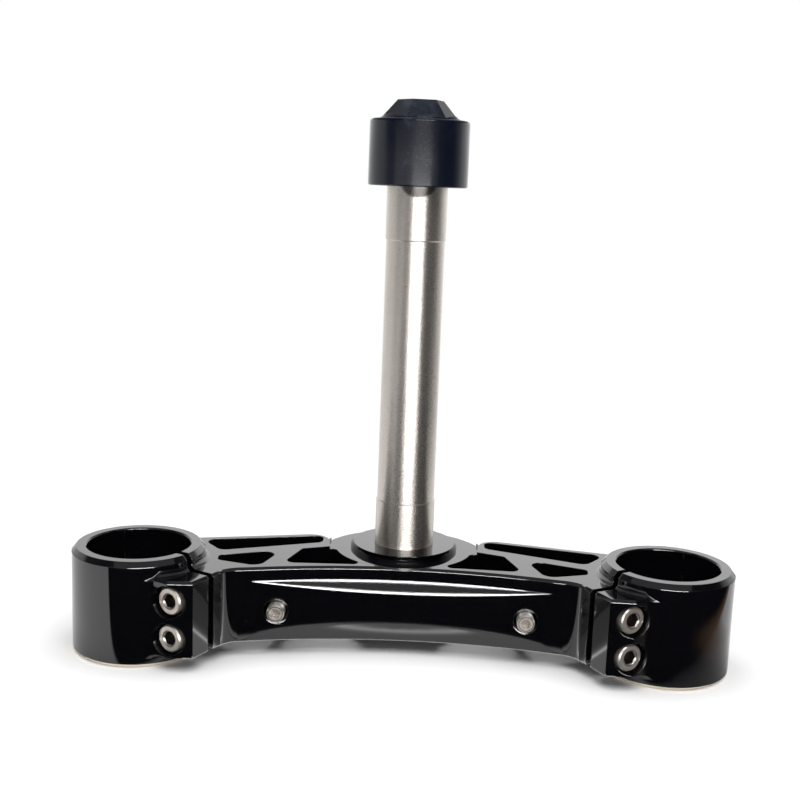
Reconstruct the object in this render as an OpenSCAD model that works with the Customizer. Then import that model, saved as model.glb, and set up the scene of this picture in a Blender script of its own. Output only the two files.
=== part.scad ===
// Lower fork clamp with its steering stem, stem nut and fasteners.
// Origin: on the stem axis, in the plane that both collars stand on.
// +X runs across the two bores, -Y faces the bolt heads, +Z runs up the stem.

/* [Fork collars] */
// Diameter of each fork tube bore
bore_d = 49; // [44:0.5:52]
// Distance between the two bore axes
fork_span = 254; // [244:1:268]
// Distance of the bore axes ahead of the stem axis
fork_offset = 37.4; // [34:0.2:42]
// Height of a collar
collar_h = 51; // [48:0.5:60]
// Wall of a collar round its bore
collar_wall = 7; // [5.5:0.1:8]
// Width of the bevel on the outer rims of a collar
collar_bevel = 2.1; // [0.8:0.1:3]
// Bevel on the mouths of a bore
bore_bevel = 0.6; // [0.3:0.1:1.2]

/* [Pinch slots] */
// Width of the slot that splits a collar
slot_w = 3.5; // [1.5:0.1:5]
// Direction of the slot, measured from the line through both bores
slot_angle = 30; // [26:1:34]
// Distance from a bore axis to the end face of its ear
ear_reach = 44.6; // [43:0.2:48]
// Depth of the ear at its end face, measured from the middle of the slot
ear_depth = 12.8; // [11:0.1:15]
// Depth of the ear at its knee, in front of the bolts
knee_depth = 19.2; // [18:0.1:21]
// Distance from a bore axis to the knee, along the slot
knee_reach = 34.75; // [33:0.25:37]
// Radius of the blend from the knee into the collar's wall
knee_blend = 8; // [4:0.5:10]

/* [Bridge] */
// How far the bridge lies below the collar tops and above their feet
bridge_inset = 7.2; // [5:0.1:8]
// Fillet between a collar and the bridge
cove_r = 2.8; // [1:0.1:4]
// Distance from the stem axis to the middle of the front face
face_y = 39.9; // [38:0.1:43]
// Radius of the long curve of the front face
face_run = 362; // [330:2:420]
// Radius of the blend from the front face to the ears
blend_r = 12.7; // [8:0.1:15]
// Bevel along the upper edge of the front
edge_bevel = 1.2; // [0.4:0.1:1.6]
// Radius of the rear of the hub
hub_r = 42.4; // [41.5:0.1:46]
// Distance of the centre of that radius ahead of the stem axis
hub_shift = 13.2; // [10:0.1:15]
// Radius of the spot face round the stem
spot_r = 38; // [34:0.1:40]
// Depth of the spot face
spot_depth = 1.4; // [0.4:0.1:3]
// Inner end of the rear rail, measured sideways from the stem axis
rail_x = 38.5; // [37:0.1:42]
// Inner end of the rear rail, measured back from the stem axis
rail_y = 13.4; // [11:0.1:16]
// Thickness of the rear rail
rail_t = 3.2; // [2.5:0.1:4.5]
// Radius of the rail's rounded inner end
rail_corner = 9; // [4:0.5:10]
// Width of the main strut from the hub to a collar
strut_w = 7.3; // [5:0.1:9]
// Width of the cross strut from the main strut to the front wall
cross_w = 8.1; // [7:0.1:10]
// Distance of the cross strut from the stem axis
cross_x = 59.8; // [58.6:0.1:61]
// Thickness of the front wall beside the cross strut
front_wall = 6; // [5.6:0.1:8]
// Wall between a collar's outer face and the long window
long_wall = 7.4; // [5:0.1:8.5]
// Wall between a collar's outer face and the outboard window
near_wall = 6.1; // [4.5:0.1:8]
// Gap between the rail's inner end and the long window
rail_end = 2.8; // [2:0.1:4]
// Radius of the boss round the stem, where the hub window bends round it
boss_r = 34.6; // [33:0.1:36]
// Radius of the turns between that boss and the window's straight sides
boss_turn = 3; // [1:0.1:4]

/* [Front scoops] */
// Height of the foot of the recessed upper wall above the bridge's underside
ledge_z = 29.9; // [28:0.1:31]
// Height of the slope below that wall, in the middle
ledge_drop = 5.7; // [3:0.1:7]
// Depth of the recess in the middle
ledge_depth = 2; // [0.8:0.1:3]
// Half of the recess's length
ledge_half = 73; // [66:0.5:74]
// Section radius of the lower scoop
scoop_r = 27; // [20:0.5:34]
// Depth of the lower scoop
scoop_depth = 1.25; // [0.6:0.05:2]
// Half of the lower scoop's length
scoop_half = 75; // [70:0.5:76]

/* [Stem] */
// Diameter of the bearing journals
journal_d = 29.6; // [29:0.1:32]
// Diameter of the stem between the journals
shaft_d = 28.7; // [27:0.1:28.9]
// Diameter of the hole through the stem
stem_bore_d = 19; // [10:0.5:22]
// Height of the shoulder that the nut sits on
shoulder_z = 224.1; // [200:0.5:240]
// Length of the lower journal above the dust shield
lower_journal = 23.3; // [15:0.1:30]
// Length of the upper journal
upper_journal = 25.9; // [15:0.1:32]
// Radius of the flange at the stem's foot
foot_r = 18; // [16.8:0.1:22]
// Thickness of the flange at the stem's foot
foot_h = 4.2; // [2.5:0.1:6]
// Gap round pieces that are pressed, screwed or seated in a hole
fit_gap = 0.05; // [0.02:0.01:0.1]

/* [Dust shield] */
// Radius of the dust shield
shield_r = 27; // [22:0.1:30]
// Thickness of the dust shield
shield_h = 3; // [2:0.1:4]
// Bevel on the upper rim of the dust shield
shield_bevel = 1.5; // [0.3:0.1:1.8]

/* [Stem nut] */
// Radius of the nut's body
nut_r = 24.2; // [22:0.1:28]
// Height of the nut's body
nut_h = 31.4; // [24:0.1:36]
// Radius of the nut's rounded upper edge
nut_edge = 1.5; // [0.5:0.1:3]
// Height of the step under the crown
step_h = 0.8; // [0.3:0.1:2]
// Radius of the tapered crown at its base
crown_r = 18.6; // [17:0.1:20]
// Radius of the tapered crown at its top
crown_top_r = 12.2; // [10:0.1:14]
// Height of the tapered crown
crown_h = 8.4; // [5:0.1:12]
// Number of flats on the crown
crown_flats = 6; // [5:1:8]
// Turn of the flats about the axis
crown_turn = -20; // [-30:1:30]
// Radius of the thread that holds the nut
thread_r = 12.5; // [11.5:0.1:13.5]
// Length of that thread
thread_l = 26; // [16:0.5:28]

/* [Pinch bolts] */
// Nominal diameter of a pinch bolt
pinch_d = 8; // [6:0.5:9]
// Diameter of its head
pinch_head_d = 13; // [11:0.1:14]
// Height of its head
pinch_head_h = 8; // [6:0.1:9]
// Width across flats of its socket
pinch_key = 6; // [4:0.5:7]
// Length under the head
pinch_l = 25; // [20:0.5:26]
// Distance from the middle of the slot to the face that its head sits on
pinch_seat = 9; // [7:0.1:11]
// Radius of its counterbore
pinch_seat_r = 7.8; // [7.1:0.1:8.2]
// Distance from the bore axis to the bolt axis
pinch_reach = 34.1; // [33:0.1:36]
// Distance between the upper and the lower bolt
pinch_gap = 18; // [16.5:0.1:19.5]

/* [Bracket screws] */
// Nominal diameter of a bracket screw
screw_d = 5; // [4:0.5:5.5]
// Diameter of its head
screw_head_d = 8.5; // [7:0.1:10]
// Height of its head
screw_head_h = 5; // [3.5:0.1:6]
// Width across flats of its socket
screw_key = 4; // [2.5:0.5:5]
// Length under the head
screw_l = 8; // [6:0.5:8.5]
// Distance of each screw from the middle
screw_x = 59.5; // [58.5:0.1:61]
// Height of the screws above the bridge's underside
screw_z = 15.3; // [14:0.1:17]
// Distance from the stem axis to the washer's seat
screw_seat_y = 43.8; // [43.2:0.1:44.4]
// Radius of the washer behind the head
washer_r = 5.7; // [5.2:0.1:6.5]
// Thickness of the washer
washer_h = 1.2; // [0.6:0.1:2]

/* [Hidden] */
$fn = 96;
fine = 360;
cut = 1;
far = 200;
proud = 0.01;

function unit(v) = v / norm(v);
function side(v) = [-v[1], v[0]];
function meet(a, u, b, v) = a + u * (((b - a) * side(v)) / (u * side(v)));
function polar(r, a) = r * [cos(a), sin(a)];
function before(p, i) = unit(p[(i + len(p) - 1) % len(p)] - p[i]);
function after(p, i) = unit(p[(i + 1) % len(p)] - p[i]);
function half_angle(p, i) = acos(before(p, i) * after(p, i)) / 2;
function middle(p, r, i) = p[i] + unit(before(p, i) + after(p, i)) * r[i] / sin(half_angle(p, i));

bore_r = bore_d / 2;
collar_r = bore_r + collar_wall;
fork = [fork_span / 2, -fork_offset];
bridge_lo = bridge_inset;
bridge_hi = collar_h - bridge_inset;
bridge_h = bridge_hi - bridge_lo;
spot_z = bridge_hi - spot_depth;
slot_dir = [-cos(slot_angle), -sin(slot_angle)];
slot_side = [sin(slot_angle), -cos(slot_angle)];
ear_tip = fork + ear_reach * slot_dir + ear_depth * slot_side;
// Centre of the front face's long curve, and of the blend that leads from it to an ear
face_mid = [0, -face_y - face_run];
blend_ref = fork + (ear_reach + blend_r) * slot_dir - face_mid;
blend_dot = -(blend_ref * slot_side);
blend_v = -blend_dot + sqrt(blend_dot * blend_dot - blend_ref * blend_ref + pow(face_run - blend_r, 2));
blend_mid = face_mid + blend_ref - blend_v * slot_side;
blend_ear = blend_mid - blend_r * slot_dir;
blend_face = face_mid + face_run * unit(blend_mid - face_mid);
// Outline of an ear in the frame of its collar
ear = [[0, -20], [ear_reach, -20], [ear_reach, ear_depth], [knee_reach, knee_depth], [0, knee_depth]];
knee_out = collar_r + knee_blend;
knee_mid = [sqrt(knee_out * knee_out - pow(knee_depth + knee_blend, 2)), knee_depth + knee_blend];
// Rear edge of the bridge
rail_in = [rail_x, rail_y];
rail_out = fork + polar(collar_r - 3.3, 76);
rail_dir = unit(rail_out - rail_in);
// Lines that bound the windows
strut_in = [0, rail_y - 2.9];
strut_out = fork + [0, -3];
strut_dir = unit(strut_out - strut_in);
strut_half = strut_w / 2 * side(strut_dir);
cross_dir = [cos(72.8), -sin(72.8)];
cross_mid = [cross_x, -30];
cross_half = cross_w / 2 * side(cross_dir);
wall_in = [37, -face_y - 1.9 + front_wall];
wall_dir = unit([1, -0.05]);
sill = fork + [-51.8, -4];
sill_dir = [cos(18.3), sin(18.3)];
long_edge = fork + polar(collar_r + long_wall, 144.6);
long_dir = [cos(54.6), sin(54.6)];
near_edge = fork + polar(collar_r + near_wall, 174.8);
near_dir = [cos(84.8), sin(84.8)];
hub_edge = [rail_x + rail_end, 0];
hub_left = [21.7, 0];
long_window = [
    meet(hub_edge, [0, 1], strut_in + strut_half, strut_dir),
    meet(strut_in + strut_half, strut_dir, long_edge, long_dir),
    meet(long_edge, long_dir, rail_in + rail_t * side(-rail_dir), rail_dir),
    meet(rail_in + rail_t * side(-rail_dir), rail_dir, hub_edge, [0, 1])
];
near_window = [
    meet(cross_mid + cross_half, cross_dir, sill, sill_dir),
    meet(sill, sill_dir, near_edge, near_dir),
    meet(near_edge, near_dir, strut_in - strut_half, strut_dir),
    meet(strut_in - strut_half, strut_dir, cross_mid + cross_half, cross_dir)
];
hub_window = [
    meet(hub_left, [0, 1], wall_in, wall_dir),
    meet(wall_in, wall_dir, cross_mid - cross_half, cross_dir),
    meet(cross_mid - cross_half, cross_dir, strut_in - strut_half, strut_dir),
    meet(strut_in - strut_half, strut_dir, hub_left, [0, 1])
];
// Runs of the two scoops
ledge_run = 1 / (1 / face_run + 2 * ledge_depth / pow(ledge_half, 2));
scoop_run = 1 / (1 / face_run + 2 * scoop_depth / pow(scoop_half, 2));
// Heights along the stem
journal_r = journal_d / 2;
shield_z = spot_z + shield_h;
stem_z = bridge_lo + 0.8;
foot_z = stem_z + foot_h;
stem_top = shoulder_z + thread_l;
nut_top = shoulder_z + nut_h;
crown_z = nut_top + step_h;
pinch_mid = bridge_lo + bridge_h / 2 - 0.8;
hole_end = pinch_seat - pinch_l - 1;
screw_head_y = screw_seat_y + washer_h;

module both() {
    children();
    mirror([1, 0, 0]) children();
}

// Frame of the right collar: +X along the slot, +Y towards the bolt heads
module at_fork() {
    translate([fork[0], fork[1], 0]) rotate([0, 0, 180 + slot_angle]) children();
}

// Convex outline p whose corners are turned with the radii r, a hair proud so that the arcs cross its sides
module rounded(p, r) {
    polygon([
        for (i = [0 : len(p) - 1])
            for (d = [before(p, i), after(p, i)])
                p[i] + d * r[i] / tan(half_angle(p, i))
    ]);
    for (i = [0 : len(p) - 1])
        translate(middle(p, r, i)) circle(r = r[i] + proud);
}

// Fills the corner between the boss and a window side through p along u, where n points into the window
module boss_fill(p, u, n) {
    q = p + boss_turn * n;
    run = sqrt(pow(q * u, 2) - q * q + pow(boss_r + boss_turn, 2)) - q * u;
    m = q + run * u;
    on_line = m - boss_turn * n;
    on_boss = m * boss_r / (boss_r + boss_turn);
    difference() {
        polygon([on_line, m, on_boss, 1.5 * (on_line + on_boss) - 2 * m]);
        translate(m) circle(r = boss_turn + 2 * proud);
    }
}

module blend_fill() {
    difference() {
        polygon([blend_ear, blend_mid, blend_face, blend_ear + blend_face - blend_mid]);
        translate(blend_mid) circle(r = blend_r + 2 * proud);
    }
}

module knee_fill() {
    difference() {
        polygon([[knee_mid[0], knee_depth], knee_mid, unit(knee_mid) * collar_r, unit(knee_mid) * (collar_r - 5)]);
        translate(knee_mid) circle(r = knee_blend + 2 * proud);
    }
}

module bridge_plan() {
    difference() {
        union() {
            translate([0, -hub_shift]) circle(r = hub_r);
            both() rounded([[rail_x, -25], rail_in, rail_out, fork + [0, -20]], [1, rail_corner, 1, 1]);
            both() polygon([[0, -10], [rail_x, -10], fork, ear_tip, [0, ear_tip[1]]]);
            both() at_fork() polygon(ear);
            both() at_fork() knee_fill();
        }
        difference() {
            translate(face_mid) circle(r = face_run, $fn = fine * 2);
            both() at_fork() translate([ear_reach - far, -far / 2]) square([far, far]);
        }
    }
    both() blend_fill();
}

module collar_solid() {
    rotate_extrude() polygon([
        [0, 0],
        [collar_r - collar_bevel, 0],
        [collar_r, collar_bevel],
        [collar_r, collar_h - collar_bevel - 0.3],
        [collar_r - collar_bevel, collar_h],
        [0, collar_h]
    ]);
}

// Fillet ring on the bridge round a collar
module cove() {
    rotate_extrude() difference() {
        translate([collar_r - cut, bridge_hi - cut]) square([cove_r + cut, cove_r + cut]);
        translate([collar_r + cove_r, bridge_hi + cove_r]) circle(r = cove_r);
    }
}

module bore_cut() {
    translate([0, 0, -cut]) cylinder(h = collar_h + 2 * cut, r = bore_r);
    rotate_extrude() polygon([
        [0, -cut],
        [bore_r + bore_bevel + cut, -cut],
        [bore_r - cut, bore_bevel + cut],
        [0, bore_bevel + cut]
    ]);
    rotate_extrude() polygon([
        [0, collar_h + cut],
        [bore_r + bore_bevel + cut, collar_h + cut],
        [bore_r - cut, collar_h - bore_bevel - cut],
        [0, collar_h - bore_bevel - cut]
    ]);
}

module slot_cut() {
    translate([bore_r / 2, -slot_w / 2, -cut]) cube([ear_reach, slot_w, collar_h + 2 * cut]);
}

module at_pinch() {
    for (dz = [-pinch_gap / 2, pinch_gap / 2])
        translate([pinch_reach, 0, pinch_mid + dz]) rotate([-90, 0, 0]) children();
}

module pinch_cut() {
    translate([0, 0, pinch_seat]) cylinder(h = far / 4, r = pinch_seat_r);
    cylinder(h = pinch_seat + cut, r = pinch_d / 2 + 0.3);
    translate([0, 0, hole_end]) cylinder(h = cut - hole_end, r = pinch_d / 2 + fit_gap);
}

module at_screw(y) {
    translate([screw_x, -y, bridge_lo + screw_z]) rotate([90, 0, 0]) children();
}

module screw_cut() {
    cylinder(h = far / 4, r = washer_r + 0.2);
    translate([0, 0, -screw_l + washer_h - 0.5]) cylinder(h = screw_l + cut, r = screw_d / 2 + fit_gap);
}

// Round cutter that leaves a hollow of the given depth in the front face
module scoop(z, depth, r, run, reach) {
    intersection() {
        translate([0, -face_y + depth - run, z])
            rotate_extrude($fn = fine) translate([run - r, 0]) circle(r = r);
        translate([-reach, -far, -far]) cube([2 * reach, 2 * far, 2 * far]);
    }
}

// Cutter that sets the upper part of the front face back, with a slope at its foot and a bevel at its top
module ledge(z, depth, run, reach) {
    back = run - 4 * depth;
    intersection() {
        translate([0, -face_y + depth - run, 0]) rotate_extrude($fn = fine) polygon([
            [run, z],
            [run, bridge_hi - edge_bevel],
            [run + 2 * edge_bevel, bridge_hi + edge_bevel],
            [back, bridge_hi + edge_bevel],
            [back, z - 4 * ledge_drop]
        ]);
        translate([-reach, -far, -far]) cube([2 * reach, 2 * far, 2 * far]);
    }
}

// Sector of a plan view, from the centre m out past the points p and q
module sector(m, p, q) {
    linear_extrude(far) polygon([m, m + 2 * (p - m), m + 3 * (p + q - 2 * m) / 2, m + 2 * (q - m)]);
}

// Bevel along the upper edge of the front, from the middle to the bolt face of an ear
module edge_cut() {
    low = bridge_hi - edge_bevel;
    intersection() {
        translate([face_mid[0], face_mid[1], low])
            cylinder(h = 2 * edge_bevel, r1 = face_run, r2 = face_run + 2 * edge_bevel, $fn = fine * 2);
        sector(face_mid, blend_face, [-blend_face[0], blend_face[1]]);
    }
    both() intersection() {
        translate([blend_mid[0], blend_mid[1], low])
            cylinder(h = 2 * edge_bevel, r1 = blend_r + 4 * proud, r2 = blend_r + 4 * proud + 2 * edge_bevel);
        sector(blend_mid, blend_ear - 2 * slot_side, blend_face - [2, 0]);
    }
    both() at_fork() {
        bevel([knee_mid[0], knee_depth], [knee_reach + 3, knee_depth]);
        intersection() {
            translate([knee_mid[0], knee_mid[1], low])
                cylinder(h = 5 * edge_bevel, r1 = knee_blend + 4 * proud, r2 = knee_blend + 4 * proud + 5 * edge_bevel);
            sector(knee_mid, [knee_mid[0] + 1, knee_depth], unit(knee_mid) * (collar_r - 1));
        }
        bevel(ear[3] - 3 * unit(ear[2] - ear[3]), ear[2] + 3 * unit(ear[2] - ear[3]));
        bevel([ear_reach, ear_depth + 3], [ear_reach, -blend_v]);
    }
}

// Cutter for a 45 degree bevel along the upper edge from p to q, with the air on the left of that way
module bevel(p, q) {
    turn = atan2(q[1] - p[1], q[0] - p[0]);
    translate([p[0], p[1], bridge_hi - edge_bevel]) rotate([0, 0, turn]) rotate([45, 0, 0])
        cube([norm(q - p), 5 * edge_bevel, 5 * edge_bevel]);
}

module clamp_body() {
    color([0.06, 0.06, 0.065]) difference() {
        union() {
            both() translate([fork[0], fork[1], 0]) collar_solid();
            difference() {
                union() {
                    translate([0, 0, bridge_lo]) linear_extrude(bridge_h) bridge_plan();
                    intersection() {
                        both() translate([fork[0], fork[1], 0]) {
                            cove();
                            translate([0, 0, collar_h]) mirror([0, 0, 1]) cove();
                        }
                        translate([0, 0, -cut]) linear_extrude(collar_h + 2 * cut) bridge_plan();
                    }
                }
                edge_cut();
            }
        }
        both() translate([fork[0], fork[1], 0]) bore_cut();
        both() at_fork() slot_cut();
        both() at_fork() at_pinch() pinch_cut();
        both() at_screw(screw_seat_y) screw_cut();
        both() translate([0, 0, -cut]) linear_extrude(collar_h + 2 * cut) {
            rounded(long_window, [4, 5, 5, 4]);
            rounded(near_window, [6, 3, 3, 5]);
            difference() {
                rounded(hub_window, [3, 4, 2.5, 1]);
                circle(r = boss_r, $fn = fine);
                boss_fill(hub_left, [0, -1], [1, 0]);
                boss_fill(strut_in - strut_half, strut_dir, -side(strut_dir));
            }
        }
        translate([0, 0, -cut]) cylinder(h = collar_h + 2 * cut, r = journal_r + fit_gap);
        translate([0, 0, -cut]) cylinder(h = foot_z + cut, r = foot_r + 0.2);
        translate([0, 0, spot_z]) cylinder(h = collar_h, r = spot_r);
        ledge(bridge_lo + ledge_z, ledge_depth, ledge_run, ledge_half + 2);
        scoop(bridge_lo + 0.8, scoop_depth, scoop_r, scoop_run, scoop_half + 1.5);
    }
}

module stem() {
    color([0.62, 0.6, 0.57]) difference() {
        rotate_extrude() polygon([
            [0, stem_z],
            [foot_r - 0.8, stem_z],
            [foot_r, stem_z + 0.8],
            [foot_r, foot_z],
            [journal_r, foot_z],
            [journal_r, shield_z + lower_journal - 0.5],
            [shaft_d / 2, shield_z + lower_journal],
            [shaft_d / 2, shoulder_z - upper_journal],
            [journal_r, shoulder_z - upper_journal + 0.5],
            [journal_r, shoulder_z],
            [thread_r, shoulder_z],
            [thread_r, stem_top - 1.2],
            [thread_r - 1.2, stem_top],
            [0, stem_top]
        ]);
        translate([0, 0, stem_z - cut]) cylinder(h = stem_top - stem_z + 2 * cut, r = stem_bore_d / 2);
    }
}

module dust_shield() {
    color([0.05, 0.05, 0.05]) rotate_extrude() polygon([
        [journal_r + fit_gap, spot_z],
        [shield_r, spot_z],
        [shield_r, shield_z - shield_bevel],
        [shield_r - shield_bevel, shield_z],
        [journal_r + fit_gap, shield_z]
    ]);
}

module stem_nut() {
    slope = atan((crown_r - crown_top_r) / crown_h);
    color([0.07, 0.07, 0.075]) difference() {
        union() {
            rotate_extrude() {
                translate([0, shoulder_z]) square([nut_r - nut_edge, nut_h]);
                translate([0, shoulder_z + 0.5]) square([nut_r, nut_h - nut_edge - 0.5]);
                polygon([
                    [0, shoulder_z],
                    [nut_r - 0.5, shoulder_z],
                    [nut_r, shoulder_z + 0.5],
                    [0, shoulder_z + 0.5]
                ]);
                translate([nut_r - nut_edge, nut_top - nut_edge]) circle(r = nut_edge);
                translate([0, nut_top - cut]) square([crown_r + 0.6, step_h + cut]);
            }
            difference() {
                translate([0, 0, crown_z - cut])
                    cylinder(h = crown_h + cut, r1 = crown_r + cut * tan(slope), r2 = crown_top_r);
                for (i = [0 : crown_flats - 1])
                    rotate([0, 0, crown_turn + i * 360 / crown_flats])
                        translate([crown_r * cos(180 / crown_flats), -far / 4, crown_z])
                            rotate([0, -slope, 0]) cube([far / 4, far / 2, far / 4]);
            }
        }
        translate([0, 0, shoulder_z - cut])
            cylinder(h = thread_l + cut + 1.5, r = thread_r + fit_gap);
    }
}

// Socket-head screw along +Z, the underside of its head at z = 0
module socket_screw(d, length, head_d, head_h, key) {
    difference() {
        rotate_extrude() polygon([
            [0, -length],
            [d / 2 - 0.6, -length],
            [d / 2, -length + 0.6],
            [d / 2, 0],
            [head_d / 2, 0],
            [head_d / 2, head_h - 0.6],
            [head_d / 2 - 0.6, head_h],
            [0, head_h]
        ]);
        translate([0, 0, head_h * 0.45]) cylinder(h = head_h, d = key / cos(30), $fn = 6);
        translate([0, 0, head_h - key * 0.16]) cylinder(h = key * 0.16 + cut, r1 = key * 0.48, r2 = key * 0.64 + cut);
    }
}

module pinch_bolts() {
    color([0.7, 0.68, 0.62]) both() at_fork() at_pinch() translate([0, 0, pinch_seat])
        socket_screw(pinch_d, pinch_l, pinch_head_d, pinch_head_h, pinch_key);
}

module bracket_screws() {
    color([0.7, 0.68, 0.62]) both() at_screw(screw_head_y)
        socket_screw(screw_d, screw_l, screw_head_d, screw_head_h, screw_key);
}

module bracket_washers() {
    color([0.05, 0.05, 0.05]) both() at_screw(screw_seat_y) difference() {
        cylinder(h = washer_h, r = washer_r);
        translate([0, 0, -cut]) cylinder(h = washer_h + 2 * cut, r = screw_d / 2 + 0.2);
    }
}

clamp_body();
stem();
dust_shield();
stem_nut();
pinch_bolts();
bracket_screws();
bracket_washers();
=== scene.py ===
import math
import bpy
from mathutils import Matrix, Vector

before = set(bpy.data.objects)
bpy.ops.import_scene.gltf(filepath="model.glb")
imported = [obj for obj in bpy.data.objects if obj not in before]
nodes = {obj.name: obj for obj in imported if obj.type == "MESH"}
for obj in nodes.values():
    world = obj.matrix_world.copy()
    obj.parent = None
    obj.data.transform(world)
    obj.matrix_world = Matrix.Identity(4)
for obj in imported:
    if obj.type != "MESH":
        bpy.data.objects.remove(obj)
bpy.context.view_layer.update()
print("frame loaded")


# Lowest and highest corner of a node, for the finishes that are placed on it
def cornersOf(nodeName):
    sides = list(zip(*(vertex.co for vertex in nodes[nodeName].data.vertices)))
    return Vector(tuple(map(min, sides))), Vector(tuple(map(max, sides)))


shieldLow, shieldHigh = cornersOf("dust_shield")
nutLow, nutHigh = cornersOf("stem_nut")
boltLow, boltHigh = cornersOf("pinch_bolts")
screwLow, screwHigh = cornersOf("bracket_screws")


# Camera, solved from the circles of the collars, the stem and the nut
cameraSetup = {
    "lens": 53.68, "sensor": 36,    # mm
    "place": (0.00158, -0.58658, 0.22791),
    "elevation": 10.54,             # degrees above the horizon
    "azimuth": 0.61,
    "roll": 2.17,                   # the picture hangs a little to the right
}


def placeCamera(setup):
    elevation = math.radians(setup["elevation"])
    azimuth = math.radians(setup["azimuth"])
    roll = math.radians(setup["roll"])
    back = Vector((math.sin(azimuth) * math.cos(elevation),
                   -math.cos(azimuth) * math.cos(elevation),
                   math.sin(elevation)))
    right = Vector((math.cos(azimuth), math.sin(azimuth), 0))
    up = back.cross(right)
    tiltedRight = math.cos(roll) * right + math.sin(roll) * up
    tiltedUp = math.cos(roll) * up - math.sin(roll) * right
    turn = Matrix((tiltedRight, tiltedUp, back)).transposed().to_4x4()
    bpy.ops.object.camera_add()
    camera = bpy.context.object
    camera.name = "camera"
    camera.matrix_world = Matrix.Translation(setup["place"]) @ turn
    camera.data.lens = setup["lens"]
    camera.data.sensor_width = setup["sensor"]
    bpy.context.scene.camera = camera


placeCamera(cameraSetup)
bpy.context.scene.view_settings.view_transform = "Standard"
print("camera placed")


# Shader helpers
def newMaterial(name):
    material = bpy.data.materials.new(name)
    material.use_nodes = True
    material.node_tree.nodes.clear()
    return material


def addNode(tree, kind, inputs=None, **settings):
    node = tree.nodes.new(kind)
    for key, value in settings.items():
        setattr(node, key, value)
    for key, value in (inputs or {}).items():
        if isinstance(value, bpy.types.NodeSocket):
            tree.links.new(value, node.inputs[key])
        else:
            node.inputs[key].default_value = value
    return node


def useGroup(tree, group, inputs):
    return addNode(tree, "ShaderNodeGroup", inputs, node_tree=group).outputs[0]


def maths(tree, operation, first, second=0.0, clamp=False):
    node = addNode(tree, "ShaderNodeMath", {0: first, 1: second}, operation=operation, use_clamp=clamp)
    return node.outputs[0]


def plus(tree, first, second):
    return maths(tree, "ADD", first, second)


def minus(tree, first, second):
    return maths(tree, "SUBTRACT", first, second)


def times(tree, first, *others):
    for other in others:
        first = maths(tree, "MULTIPLY", first, other)
    return first


def mixed(tree, factor, first, second):
    node = addNode(tree, "ShaderNodeMix", {0: factor, 6: first, 7: second}, data_type="RGBA")
    return node.outputs[2]


def ranged(tree, value, low, high, toLow=0.0, toHigh=1.0):
    node = addNode(tree, "ShaderNodeMapRange", {
        "Value": value, "From Min": low, "From Max": high, "To Min": toLow, "To Max": toHigh,
    }, interpolation_type="SMOOTHSTEP")
    return node.outputs["Result"]


def falling(tree, value, low, high):
    return ranged(tree, value, low, high, 1.0, 0.0)


def ramp(tree, factor, stops):
    node = addNode(tree, "ShaderNodeValToRGB", {"Fac": factor})
    while len(node.color_ramp.elements) < len(stops):
        node.color_ramp.elements.new(1)
    for element, (position, value) in zip(node.color_ramp.elements, stops):
        element.position = position
        element.color = grey(value)
    return node.outputs["Color"]


def split(tree, vector):
    return addNode(tree, "ShaderNodeSeparateXYZ", {"Vector": vector}).outputs


def length(tree, vector):
    return addNode(tree, "ShaderNodeVectorMath", {0: vector}, operation="LENGTH").outputs["Value"]


def unit(tree, vector):
    return addNode(tree, "ShaderNodeVectorMath", {0: vector}, operation="NORMALIZE").outputs["Vector"]


def objectPlace(tree):
    return addNode(tree, "ShaderNodeTexCoord").outputs["Object"]


def grey(value):
    return (value, value, value, 1)


# Inputs with their first values, None for a place; the outputs are all numbers
def sharedGroup(name, inputs, outputs):
    group = bpy.data.node_groups.new(name, "ShaderNodeTree")
    for inputName, value in inputs.items():
        kind = "NodeSocketVector" if value is None else "NodeSocketFloat"
        entry = group.interface.new_socket(inputName, in_out="INPUT", socket_type=kind)
        if value is not None:
            entry.default_value = value
    for outputName in outputs:
        group.interface.new_socket(outputName, in_out="OUTPUT", socket_type="NodeSocketFloat")
    return group, group.nodes.new("NodeGroupInput").outputs, group.nodes.new("NodeGroupOutput").inputs


# Fine grain of a blasted or anodised skin, as a height
def makeGrain():
    group, given, out = sharedGroup("fine grain", {"Place": None, "Scale": 2500.0}, ["Height"])
    noise = addNode(group, "ShaderNodeTexNoise", {
        "Vector": given["Place"], "Scale": given["Scale"], "Detail": 2.0,
    })
    group.links.new(noise.outputs["Fac"], out["Height"])
    return group


dustSetup = {
    "cleanBelow": 0.42, "thickAbove": 0.78,     # levels of the haze's noise
    "bareShare": 0.86,                          # share of the cells that hold no speck
}


# Uneven haze of dust and wiped marks, 0 where the surface is clean
def makeHaze(setup):
    group, given, out = sharedGroup("dust haze", {"Place": None, "Scale": 90.0, "Amount": 0.5}, ["Haze"])
    cloud = addNode(group, "ShaderNodeTexNoise", {
        "Vector": given["Place"], "Scale": given["Scale"], "Detail": 6.0, "Roughness": 0.62, "Distortion": 0.25,
    })
    spread = ranged(group, cloud.outputs["Fac"], setup["cleanBelow"], setup["thickAbove"])
    group.links.new(times(group, spread, given["Amount"]), out["Haze"])
    return group


# Single specks of dust
def makeSpecks(setup):
    group, given, out = sharedGroup("dust specks", {"Place": None, "Scale": 400.0, "Size": 0.08}, ["Speck"])
    cells = addNode(group, "ShaderNodeTexVoronoi", {"Vector": given["Place"], "Scale": given["Scale"]})
    near = maths(group, "LESS_THAN", cells.outputs["Distance"], given["Size"])
    chosen = addNode(group, "ShaderNodeSeparateColor", {"Color": cells.outputs["Color"]})
    few = maths(group, "GREATER_THAN", chosen.outputs["Red"], setup["bareShare"])
    group.links.new(times(group, near, few), out["Speck"])
    return group


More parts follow.
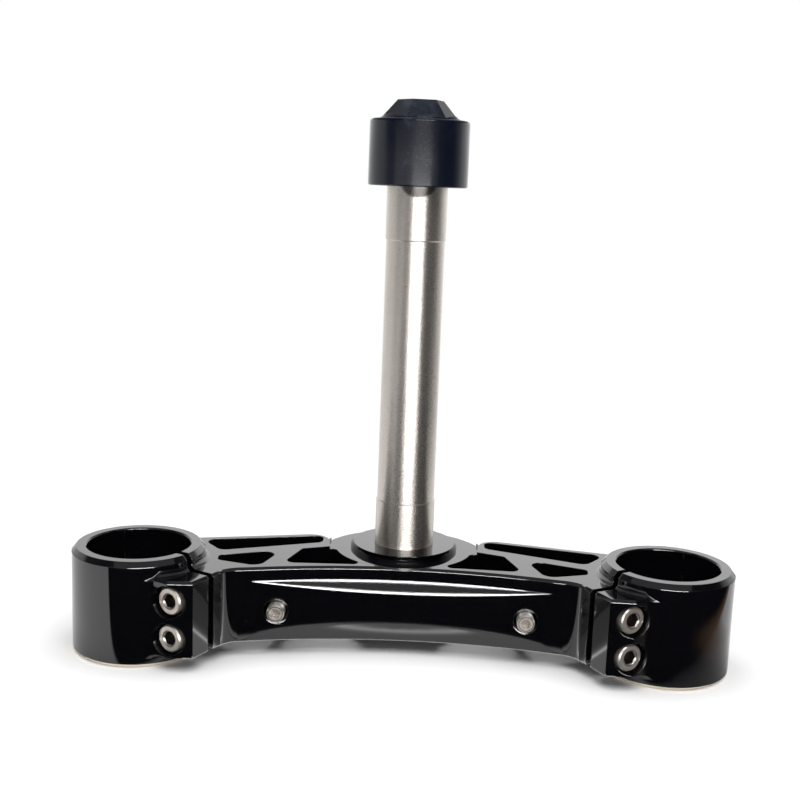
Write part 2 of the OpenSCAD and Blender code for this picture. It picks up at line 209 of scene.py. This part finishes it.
# 1 inside a box about the middle plane and in front of a depth, with soft ends
def makeZone():
    group, given, out = sharedGroup("zone", {
        "Place": None, "Half Width": 0.08, "Front Of": -0.03, "Low": 0.0, "High": 0.01,
        "Soft": 0.001, "Side Soft": 0.001,
    }, ["Zone"])
    point = split(group, given["Place"])
    sideStart = minus(group, given["Half Width"], given["Side Soft"])
    wide = falling(group, maths(group, "ABSOLUTE", point["X"]), sideStart, given["Half Width"])
    ahead = maths(group, "LESS_THAN", point["Y"], given["Front Of"])
    above = ranged(group, point["Z"], given["Low"], plus(group, given["Low"], given["Soft"]))
    below = falling(group, point["Z"], minus(group, given["High"], given["Soft"]), given["High"])
    group.links.new(times(group, times(group, wide, ahead), times(group, above, below)), out["Zone"])
    return group


grain = makeGrain()
haze = makeHaze(dustSetup)
specks = makeSpecks(dustSetup)
zone = makeZone()
print("dust and grain made")


# Normal turned to the front on the upright faces of one strip
def calmNormal(tree, place, normal, calm):
    side = split(tree, place)["X"]
    left, right = calm["across"]
    strip = times(tree, ranged(tree, side, left - calm["soft"], left),
                  falling(tree, side, right, right + calm["soft"]))
    lean = maths(tree, "ABSOLUTE", split(tree, normal)["Z"])
    upright = maths(tree, "LESS_THAN", lean, calm["lean"])
    tall = useGroup(tree, zone, dict(calm["zone"], Place=place))
    share = times(tree, strip, upright, tall, calm["amount"])
    blend = addNode(tree, "ShaderNodeMix", {0: share, 4: normal, 5: (0.0, -1.0, 0.0)}, data_type="VECTOR")
    return unit(tree, blend.outputs[1])


# Normal of a bevelled rim laid over to the side, so that it mirrors what stands round the part
def rimNormal(tree, place, normal, rim):
    point = split(tree, place)
    flat = addNode(tree, "ShaderNodeCombineXYZ", {"X": point["X"], "Y": point["Y"]})
    reach = length(tree, flat.outputs["Vector"])
    outer = ranged(tree, reach, rim["radius"] - rim["soft"], rim["radius"])
    under = maths(tree, "LESS_THAN", point["Z"], rim["height"])
    keep = minus(tree, 1.0, times(tree, outer, under, rim["turn"]))
    old = split(tree, normal)
    laid = addNode(tree, "ShaderNodeCombineXYZ", {"X": old["X"], "Y": old["Y"], "Z": times(tree, old["Z"], keep)})
    return unit(tree, laid.outputs["Vector"])


# Wiped patch with grit on the front of a round piece
def smudgeFilm(tree, place, smudge):
    point = split(tree, place)
    ahead = maths(tree, "LESS_THAN", point["Y"], 0.0)
    patch = times(tree, falling(tree, maths(tree, "ABSOLUTE", point["X"]), *smudge["sides"]), ahead)
    cloud = useGroup(tree, haze, {"Place": place, "Scale": smudge["scale"], "Amount": smudge["amount"]})
    fine = useGroup(tree, specks, {"Place": place, "Scale": smudge["speckScale"], "Size": smudge["speckSize"]})
    return times(tree, patch, plus(tree, cloud, times(tree, fine, smudge["speckLight"])))


# Painted highlight and painted reflection: a light colour painted at the edges of a zone, or all over it
def paintedLightColor(tree, place, rounded, color, paintedLight):
    truth = addNode(tree, "ShaderNodeNewGeometry").outputs["Normal"]
    turned = addNode(tree, "ShaderNodeVectorMath", {0: rounded, 1: truth}, operation="DOT_PRODUCT")
    edgeHighlight = falling(tree, turned.outputs["Value"], *paintedLight["highlightEdge"])
    seen = maths(tree, "GREATER_THAN", split(tree, truth)["Z"], paintedLight["underside"])
    for patch in paintedLight["patches"]:
        inside = useGroup(tree, zone, dict(patch["zone"], Place=place))
        shown = times(tree, inside, maths(tree, "MAXIMUM", edgeHighlight, patch["all"]), seen)
        color = mixed(tree, shown, color, patch["color"])
    return color


# Polished black anodising, with its edges rounded by a hair and a few specks of dust
def makeBlack(name, setup):
    material = newMaterial(name)
    tree = material.node_tree
    place = objectPlace(tree)
    radius = setup["edge"]
    for blend in setup.get("blends", []):
        inside = useGroup(tree, zone, dict(blend["zone"], Place=place))
        radius = addNode(tree, "ShaderNodeMix", {0: inside, 2: radius, 3: blend["radius"]}).outputs[0]
    rounded = addNode(tree, "ShaderNodeBevel", {"Radius": radius}, samples=8).outputs["Normal"]
    normal = rounded
    if "calm" in setup:
        normal = calmNormal(tree, place, normal, setup["calm"])
    if "rim" in setup:
        normal = rimNormal(tree, place, normal, setup["rim"])
    height = useGroup(tree, grain, {"Place": place, "Scale": setup["grainScale"]})
    skin = addNode(tree, "ShaderNodeBump", {
        "Height": height, "Strength": setup["grainDepth"], "Distance": setup["grainHeight"], "Normal": normal,
    })
    dusty = useGroup(tree, haze, {"Place": place, "Scale": setup["hazeScale"], "Amount": setup["haze"]})
    speck = useGroup(tree, specks, {"Place": place, "Scale": setup["speckScale"], "Size": setup["speckSize"]})
    film = maths(tree, "MAXIMUM", dusty, times(tree, speck, setup["speckLight"]))
    if "smudge" in setup:
        film = maths(tree, "MAXIMUM", film, smudgeFilm(tree, place, setup["smudge"]))
    color = mixed(tree, film, setup["color"], setup["dustColor"])
    # painted highlight and painted reflection on the edges and feet that the finish lists
    if "paintedLight" in setup:
        color = paintedLightColor(tree, place, rounded, color, setup["paintedLight"])
    surface = addNode(tree, "ShaderNodeBsdfPrincipled", {
        "Base Color": color,
        "Roughness": ranged(tree, film, 0.0, 1.0, setup["roughness"], setup["dustRoughness"]),
        "IOR": setup["ior"],
        "Normal": skin.outputs["Normal"],
    })
    addNode(tree, "ShaderNodeOutputMaterial", {"Surface": surface.outputs["BSDF"]})
    return material


bodyFinish = {
    "color": (0.0022, 0.0022, 0.0032, 1), "roughness": 0.045, "ior": 1.7,
    "edge": 0.00035,            # metres that an edge is rounded by
    "grainScale": 3500.0, "grainDepth": 0.02, "grainHeight": 0.0001,
    "dustColor": (0.2, 0.19, 0.18, 1), "dustRoughness": 0.5, "haze": 0.003, "hazeScale": 60.0,
    "speckScale": 260.0, "speckSize": 0.05, "speckLight": 0.12,
}
clampFinish = dict(
    bodyFinish,
    calm={                      # the left ear
        "across": (-0.114, -0.1015), "soft": 0.0008, "lean": 0.3, "amount": 0.8,
        "zone": {"Half Width": 0.13, "Front Of": -0.06, "Low": 0.004, "High": 0.0405, "Soft": 0.001},
    },
    blends=[                    # the upper ledge, wider in its middle, then the scoop and the lower edge
        {"zone": {"Half Width": 0.077, "Low": 0.0285, "High": 0.0395}, "radius": 0.001},
        {"zone": {"Half Width": 0.06, "Side Soft": 0.03, "Low": 0.0285, "High": 0.0395}, "radius": 0.0019},
        {"zone": {"Half Width": 0.09, "Low": 0.011, "High": 0.0195}, "radius": 0.002},
        {"zone": {"Half Width": 0.1, "Low": 0.0062, "High": 0.0092, "Soft": 0.0003}, "radius": 0.0007},
    ],
    paintedLight={                      # painted highlight on the bridge's lower edge, and painted reflection of the warm floor on the feet of the collars
        "highlightEdge": (0.93, 0.995), "underside": -0.9,
        "patches": [
            {"zone": {"Half Width": 0.1, "Low": 0.006, "High": 0.0085, "Soft": 0.0003},
             "all": 0.0, "color": (0.6, 0.58, 0.57, 1)},
            {"zone": {"Half Width": 0.2, "Front Of": 0.0, "Low": -0.001, "High": 0.0021, "Soft": 0.0004},
             "all": 1.0, "color": (0.9, 0.8, 0.66, 1)},
        ],
    },
)
washerFinish = dict(
    bodyFinish, color=(0.001, 0.001, 0.001, 1), roughness=0.05, edge=0.0004, haze=0.006,
)
shieldFinish = dict(
    washerFinish,
    rim={"radius": shieldHigh.x - 0.0014, "height": shieldHigh.z - 0.0001, "soft": 0.0003, "turn": 0.9},
)
nutFinish = dict(
    bodyFinish,
    color=(0.0012, 0.0035, 0.0105, 1), roughness=0.12, ior=1.5, edge=0.0005, grainDepth=0.08,
    dustColor=(0.2, 0.22, 0.27, 1), haze=0.02, hazeScale=75.0,
    smudge={"sides": (0.006, 0.01), "scale": 60.0, "amount": 0.12,
            "speckScale": 1900.0, "speckSize": 0.3, "speckLight": 0.2},
)


# Distance from the nearest fastener's axis and depth below its end face; left and right mirror each other
def makeAxis():
    group, given, out = sharedGroup("fastener axis", {
        "Place": None, "Face X": 0.0, "Face Y": 0.0, "Turn": 0.0, "Height": 0.0, "Half Gap": 0.0,
    }, ["Distance", "Depth"])
    point = split(group, given["Place"])
    alongX = minus(group, maths(group, "ABSOLUTE", point["X"]), given["Face X"])
    alongY = minus(group, point["Y"], given["Face Y"])
    sine = maths(group, "SINE", given["Turn"])
    cosine = maths(group, "COSINE", given["Turn"])
    across = plus(group, times(group, alongX, cosine), times(group, alongY, sine))
    depth = minus(group, times(group, alongY, cosine), times(group, alongX, sine))
    up = minus(group, maths(group, "ABSOLUTE", minus(group, point["Z"], given["Height"])), given["Half Gap"])
    squares = plus(group, times(group, across, across), times(group, up, up))
    group.links.new(maths(group, "SQRT", squares), out["Distance"])
    group.links.new(depth, out["Depth"])
    return group


headSetup = {
    "darkFrom": 0.0003, "darkFull": 0.0012,     # depths in the socket where the painted shade starts and where it is full
    "grooveDepth": 0.001, "grooveHalf": 0.0001, "grooveFade": 0.0003,
}


# Painted shade: darker deeper in the socket, and a dark ring painted as shade along a groove turned in the end
# face
def makeSocket(setup):
    group, given, out = sharedGroup("socket and groove", {
        "Distance": 0.0, "Depth": 0.0, "Socket Radius": 0.003, "Socket Shade": 0.9,
        "Groove Radius": 0.003, "Groove Shade": 0.0,
    }, ["Dark"])
    inside = maths(group, "LESS_THAN", given["Distance"], given["Socket Radius"])
    sunk = ranged(group, given["Depth"], setup["darkFrom"], setup["darkFull"])
    hole = times(group, inside, sunk, given["Socket Shade"])
    off = maths(group, "ABSOLUTE", minus(group, given["Distance"], given["Groove Radius"]))
    shallow = maths(group, "LESS_THAN", given["Depth"], setup["grooveDepth"])
    groove = times(group, falling(group, off, setup["grooveHalf"], setup["grooveFade"]), shallow)
    dark = maths(group, "MAXIMUM", hole, times(group, groove, given["Groove Shade"]))
    group.links.new(dark, out["Dark"])
    return group


axis = makeAxis()
socket = makeSocket(headSetup)


# Painted shade: a dark oval painted on the front of a round piece
def paintedShadeColor(tree, place, color, shade):
    shift = addNode(tree, "ShaderNodeMapping", {
        "Vector": place, "Location": shade["place"], "Scale": shade["scale"],
    }, vector_type="TEXTURE")
    ahead = maths(tree, "LESS_THAN", split(tree, place)["Y"], 0.0)
    oval = ranged(tree, length(tree, shift.outputs["Vector"]), *shade["border"], shade["dark"], 0.0)
    return mixed(tree, times(tree, oval, ahead), color, shade["color"])


# Steel with a fine grain and brown blotches; where it is turned, the shine runs round the part
def makeSteel(name, setup):
    material = newMaterial(name)
    tree = material.node_tree
    place = objectPlace(tree)
    stretched = addNode(tree, "ShaderNodeMapping", {"Vector": place, "Scale": setup["streak"]})
    height = useGroup(tree, grain, {"Place": stretched.outputs["Vector"], "Scale": setup["grainScale"]})
    skin = addNode(tree, "ShaderNodeBump", {
        "Height": height, "Strength": setup["grainDepth"], "Distance": setup["grainHeight"],
    })
    blotch = useGroup(tree, haze, {"Place": place, "Scale": setup["blotchScale"], "Amount": 1.0})
    tone = maths(tree, "ADD", times(tree, height, setup["toneGrain"]), times(tree, blotch, setup["toneBlotch"]),
                 clamp=True)
    color = mixed(tree, tone, setup["color"], setup["darkColor"])
    if "shade" in setup:
        color = paintedShadeColor(tree, place, color, setup["shade"])
    # painted shade in a fastener's socket and along its groove
    if "face" in setup:
        where = addNode(tree, "ShaderNodeGroup", dict(setup["face"], Place=place), node_tree=axis).outputs
        look = dict(setup["socket"], Distance=where["Distance"], Depth=where["Depth"])
        color = mixed(tree, useGroup(tree, socket, look), color, setup["socketShadeColor"])
    smooth, rough = setup["roughness"]
    surface = addNode(tree, "ShaderNodeBsdfPrincipled", {
        "Base Color": color,
        "Metallic": setup["metallic"],
        "Roughness": ranged(tree, height, 0.3, 0.7, smooth, rough),
        "Anisotropic": setup["turned"],
        "Anisotropic Rotation": 0.25,
        "Normal": skin.outputs["Normal"],
    })
    if setup["turned"]:
        around = addNode(tree, "ShaderNodeTangent", direction_type="RADIAL", axis="Z")
        tree.links.new(around.outputs["Tangent"], surface.inputs["Tangent"])
    addNode(tree, "ShaderNodeOutputMaterial", {"Surface": surface.outputs["BSDF"]})
    return material


stemFinish = {
    "color": (0.62, 0.575, 0.53, 1), "darkColor": (0.36, 0.325, 0.29, 1),
    "roughness": (0.255, 0.345), "metallic": 0.92, "turned": 0.85,
    "streak": (1.0, 1.0, 1.6), "grainScale": 2200.0, "grainDepth": 0.35, "grainHeight": 0.0002,
    "toneGrain": 0.35, "toneBlotch": 0.12, "blotchScale": 45.0,
    "shade": {                  # painted reflection of the nut, on the stem right under it
        "place": (0.0005, 0.0, nutLow.z + 0.0007), "scale": (0.0088, 1.0, 0.0062),
        "border": (0.8, 1.05), "dark": 0.85, "color": (0.02, 0.02, 0.02, 1),
    },
}
boltHead = 0.00648              # radius of a pinch bolt's head
boltFinish = {
    "color": (0.74, 0.69, 0.63, 1), "darkColor": (0.26, 0.22, 0.18, 1),
    "roughness": (0.289, 0.391), "metallic": 0.8, "turned": 0.0,
    "streak": (1.0, 1.0, 1.0), "grainScale": 1800.0, "grainDepth": 0.25, "grainHeight": 0.0002,
    "toneGrain": 0.55, "toneBlotch": 0.5, "blotchScale": 45.0,
    # colour of the painted shade in the sockets and grooves
    "socketShadeColor": (0.016, 0.011, 0.008, 1),
    "face": {"Face X": 0.10597, "Face Y": -0.06917, "Turn": math.radians(30),
             "Height": (boltLow.z + boltHigh.z) / 2, "Half Gap": (boltHigh.z - boltLow.z) / 2 - boltHead},
    "socket": {"Socket Radius": 0.0036, "Socket Shade": 0.95, "Groove Radius": 0.0038, "Groove Shade": 0.7},
}
screwHead = 0.00425             # radius of a bracket screw's head
screwFinish = dict(
    boltFinish,
    face={"Face X": screwHigh.x - screwHead, "Face Y": screwLow.y, "Height": (screwLow.z + screwHigh.z) / 2},
    socket={"Socket Radius": 0.0024, "Socket Shade": 0.35, "Groove Radius": 0.0034, "Groove Shade": 0.85},
)


def dress(nodeName, material):
    piece = nodes[nodeName]
    for place in piece.material_slots:
        place.material = material
    if not piece.material_slots:
        piece.data.materials.append(material)


finishes = {
    "clamp_body": makeBlack("black_anodised", clampFinish),
    "dust_shield": makeBlack("black_shield", shieldFinish),
    "bracket_washers": makeBlack("black_washer", washerFinish),
    "stem_nut": makeBlack("black_nut", nutFinish),
    "stem": makeSteel("stem_steel", stemFinish),
    "pinch_bolts": makeSteel("bolt_steel", boltFinish),
    "bracket_screws": makeSteel("screw_steel", screwFinish),
}
for nodeName, material in finishes.items():
    dress(nodeName, material)
print("materials made")


# White floor. In the reflections it ends at a board's edge, and what lies in front of that is dark
floorSetup = {
    "size": 6.0, "white": 0.9, "dark": 0.004,
    "paper": (0.22, 0.6),                       # from here to there it turns into plain white paper
    "front": -0.0745, "leftSlope": 1.08, "leftOffset": 0.0662,
    "rightFront": -0.095, "rightFrom": (0.11, 0.145), "curveFrom": 0.18, "curve": 9.8,
    "fade": 0.004, "fadeRight": (0.09, 0.01), "fadeFrom": (0.2, 0.25),
    "wood": (0.26, 0.15, 0.085, 1), "woodDepth": 0.04, "woodFrom": (0.16, 0.22),
}
creaseSetup = {
    "half": 0.088, "soft": 0.012, "front": -0.0705,
    "run": 1.45,                                # the crease bends with the bridge: y = x² / run
    "light": [(-0.08, 0.0), (-0.0705, 0.0), (-0.069, 0.85), (-0.0562, 0.9), (-0.0551, 1.2),
              (-0.0538, 3.4), (-0.0525, 1.1), (-0.051, 0.5), (-0.048, 0.3), (-0.02, 0.2)],
}


# How far each spot lies in front of the board's edge, and how softly the edge ends there
def boardEdge(tree, point, setup):
    side = point["X"]
    left = plus(tree, times(tree, side, setup["leftSlope"]), setup["leftOffset"])
    middle = maths(tree, "MINIMUM", left, setup["front"])
    toRight = ranged(tree, side, *setup["rightFrom"])
    step = times(tree, toRight, setup["rightFront"] - setup["front"])
    past = maths(tree, "MAXIMUM", minus(tree, side, setup["curveFrom"]), 0.0)
    bow = times(tree, past, past, setup["curve"])
    border = plus(tree, plus(tree, middle, step), bow)
    widest = ranged(tree, side, *setup["fadeFrom"], *setup["fadeRight"])
    soft = plus(tree, setup["fade"], times(tree, toRight, widest))
    return minus(tree, border, point["Y"]), soft


# The crease of light that the front of the bridge mirrors, and where it shows
def creaseGlow(tree, point, setup):
    side = point["X"]
    sag = maths(tree, "DIVIDE", times(tree, side, side), setup["run"])
    follow = minus(tree, point["Y"], sag)
    low, high = setup["light"][0][0], setup["light"][-1][0]
    stops = [((y - low) / (high - low), value) for y, value in setup["light"]]
    along = maths(tree, "DIVIDE", minus(tree, follow, low), high - low)
    glow = addNode(tree, "ShaderNodeEmission", {"Color": ramp(tree, along, stops)})
    beam = falling(tree, maths(tree, "ABSOLUTE", side), setup["half"] - setup["soft"], setup["half"])
    return glow.outputs["Emission"], times(tree, beam, maths(tree, "GREATER_THAN", follow, setup["front"]))


def makeFloor(setup, crease):
    bpy.ops.object.select_all(action="DESELECT")
    bpy.ops.mesh.primitive_plane_add(size=setup["size"], location=(0, 0, 0))
    floor = bpy.context.object
    floor.name = "floor"
    material = newMaterial("floor_white")
    tree = material.node_tree
    place = objectPlace(tree)
    point = split(tree, place)
    glossy = addNode(tree, "ShaderNodeLightPath").outputs["Is Glossy Ray"]
    inward, soft = boardEdge(tree, point, setup)
    ahead = maths(tree, "DIVIDE", plus(tree, inward, soft), soft, clamp=True)
    hidden = times(tree, ahead, glossy)
    woody = times(tree, ranged(tree, point["X"], *setup["woodFrom"]),
                  falling(tree, inward, 0.0, setup["woodDepth"]))
    board = mixed(tree, woody, grey(setup["dark"]), setup["wood"])
    near = addNode(tree, "ShaderNodeBsdfDiffuse", {"Color": mixed(tree, hidden, grey(setup["white"]), board)})
    far = addNode(tree, "ShaderNodeEmission", {"Color": mixed(tree, hidden, grey(1), board)})
    spread = addNode(tree, "ShaderNodeMixShader", {
        0: ranged(tree, length(tree, place), *setup["paper"]),
        1: near.outputs["BSDF"], 2: far.outputs["Emission"],
    })
    glow, shows = creaseGlow(tree, point, crease)
    mirrored = addNode(tree, "ShaderNodeMixShader", {
        0: times(tree, shows, glossy), 1: spread.outputs["Shader"], 2: glow,
    })
    addNode(tree, "ShaderNodeOutputMaterial", {"Surface": mirrored.outputs["Shader"]})
    floor.data.materials.append(material)


# Light tent, seen only in reflections: its brightness by the direction from the camera's side,
# in degrees to the right
tentSetup = {
    "radius": 1.0, "height": 1.3, "sides": 96, "strength": 2.0, "roof": 0.32,
    "dusk": (0.24, 0.3), "dim": 0.75, "front": (-0.3, 0.0),     # darker above the dusk, in front
    "raise": 0.25, "back": (0.3, 0.7),                          # and lighter above it at the back
    "eaves": (0.47, 0.6), "eavesDim": 1.2,
    "lights": [(-180, 0.62), (-144, 0.5), (-108, 0.4), (-84, 0.34), (-70, 0.17), (-59, 0.17), (-50, 0.42),
               (-32, 0.44), (-18, 0.55), (-8, 0.72), (4, 0.88), (19, 0.86), (33, 0.4), (49, 0.085),
               (67, 0.045), (87, 0.05), (102, 0.2), (114, 0.42), (150, 0.6), (180, 0.62)],
}


# A material that glows in reflections and is clear to everything else
def glowing(name, build):
    material = newMaterial(name)
    tree = material.node_tree
    ray = addNode(tree, "ShaderNodeLightPath")
    clear = addNode(tree, "ShaderNodeBsdfTransparent")
    glow = addNode(tree, "ShaderNodeEmission", build(tree))
    shown = addNode(tree, "ShaderNodeMixShader", {
        0: ray.outputs["Is Glossy Ray"], 1: clear.outputs["BSDF"], 2: glow.outputs["Emission"],
    })
    addNode(tree, "ShaderNodeOutputMaterial", {"Surface": shown.outputs["Shader"]})
    return material


def wallGlow(tree, setup):
    point = split(tree, objectPlace(tree))
    angle = maths(tree, "ARCTAN2", point["X"], times(tree, point["Y"], -1.0))
    turned = plus(tree, maths(tree, "DIVIDE", angle, 2 * math.pi), 0.5)
    stops = [(degrees / 360 + 0.5, value) for degrees, value in setup["lights"]]
    high = ranged(tree, point["Z"], *setup["dusk"])
    ahead = falling(tree, point["Y"], *setup["front"])
    eaves = times(tree, ranged(tree, point["Z"], *setup["eaves"]), setup["eavesDim"])
    shade = maths(tree, "MAXIMUM", times(tree, high, ahead), eaves)
    behind = times(tree, high, ranged(tree, point["Y"], *setup["back"]))
    change = minus(tree, times(tree, shade, setup["dim"]), times(tree, behind, setup["raise"]))
    strength = minus(tree, setup["strength"], times(tree, change, setup["strength"]))
    return {"Color": ramp(tree, turned, stops), "Strength": strength}


def makeTent(setup):
    bpy.ops.object.select_all(action="DESELECT")
    bpy.ops.mesh.primitive_cylinder_add(
        vertices=setup["sides"], radius=setup["radius"], depth=setup["height"], end_fill_type="NOTHING",
        location=(0, 0, setup["height"] / 2))
    wall = bpy.context.object
    wall.name = "tent_wall"
    bpy.ops.object.transform_apply(location=True, rotation=False, scale=False)
    wall.data.materials.append(glowing("tent_wall", lambda tree: wallGlow(tree, setup)))
    bpy.ops.mesh.primitive_circle_add(
        vertices=setup["sides"], radius=setup["radius"], fill_type="NGON", location=(0, 0, setup["height"]))
    roof = bpy.context.object
    roof.name = "tent_roof"
    roof.data.materials.append(glowing("tent_roof", lambda tree: {"Color": grey(1), "Strength": setup["roof"]}))


# The strip and the edge lamp share one window: one lights the steel, the other the black pieces
lampAim = Vector((0, 0, 0.05))
lamps = [
    {"name": "strip", "azimuth": 8, "distance": 0.9, "height": 0.098, "size": (0.68, 0.184), "energy": 5.8,
     "cast": False, "only": ["stem", "stem_nut", "pinch_bolts", "bracket_screws"]},
    {"name": "edge", "azimuth": 8, "distance": 0.88, "height": 0.098, "size": (0.68, 0.184), "energy": 14.0,
     "cast": False, "only": ["clamp_body", "dust_shield", "bracket_washers"]},
    {"name": "high", "azimuth": 14, "distance": 0.72, "height": 0.74, "size": (0.6, 0.22), "energy": 2.2},
    {"name": "top", "azimuth": 0, "distance": 0.1, "height": 1.25, "size": (1.5, 1.5), "energy": 17.0,
     "mirrored": False},
]


def makeLamp(setup):
    azimuth = math.radians(setup["azimuth"])
    reach = setup["distance"]
    place = Vector((math.sin(azimuth) * reach, -math.cos(azimuth) * reach, setup["height"]))
    bpy.ops.object.light_add(type="AREA", location=place)
    lamp = bpy.context.object
    lamp.name = setup["name"] + "_lamp"
    lamp.rotation_euler = (lampAim - place).to_track_quat("-Z", "Y").to_euler()
    lamp.data.shape = "RECTANGLE"
    lamp.data.size, lamp.data.size_y = setup["size"]
    lamp.data.energy = setup["energy"]
    lamp.visible_glossy = setup.get("mirrored", True)
    lamp.visible_diffuse = setup.get("cast", True)
    if "only" in setup:
        lit = bpy.data.collections.new("lit_by_" + lamp.name)
        for nodeName in setup["only"]:
            lit.objects.link(nodes[nodeName])
        lamp.light_linking.receiver_collection = lit


# White to the camera, softer on the part, and nothing in the reflections
def makeWorld(white, soft):
    world = bpy.data.worlds.new("studio")
    bpy.context.scene.world = world
    world.use_nodes = True
    tree = world.node_tree
    ray = addNode(tree, "ShaderNodeLightPath")
    level = plus(tree, times(tree, ray.outputs["Is Camera Ray"], white - soft), soft)
    seen = times(tree, level, minus(tree, 1.0, ray.outputs["Is Glossy Ray"]))
    background = tree.nodes["Background"]
    background.inputs["Color"].default_value = grey(1)
    tree.links.new(seen, background.inputs["Strength"])


makeFloor(floorSetup, creaseSetup)
makeTent(tentSetup)
for lamp in lamps:
    makeLamp(lamp)
makeWorld(white=1.0, soft=0.45)
print("studio made")
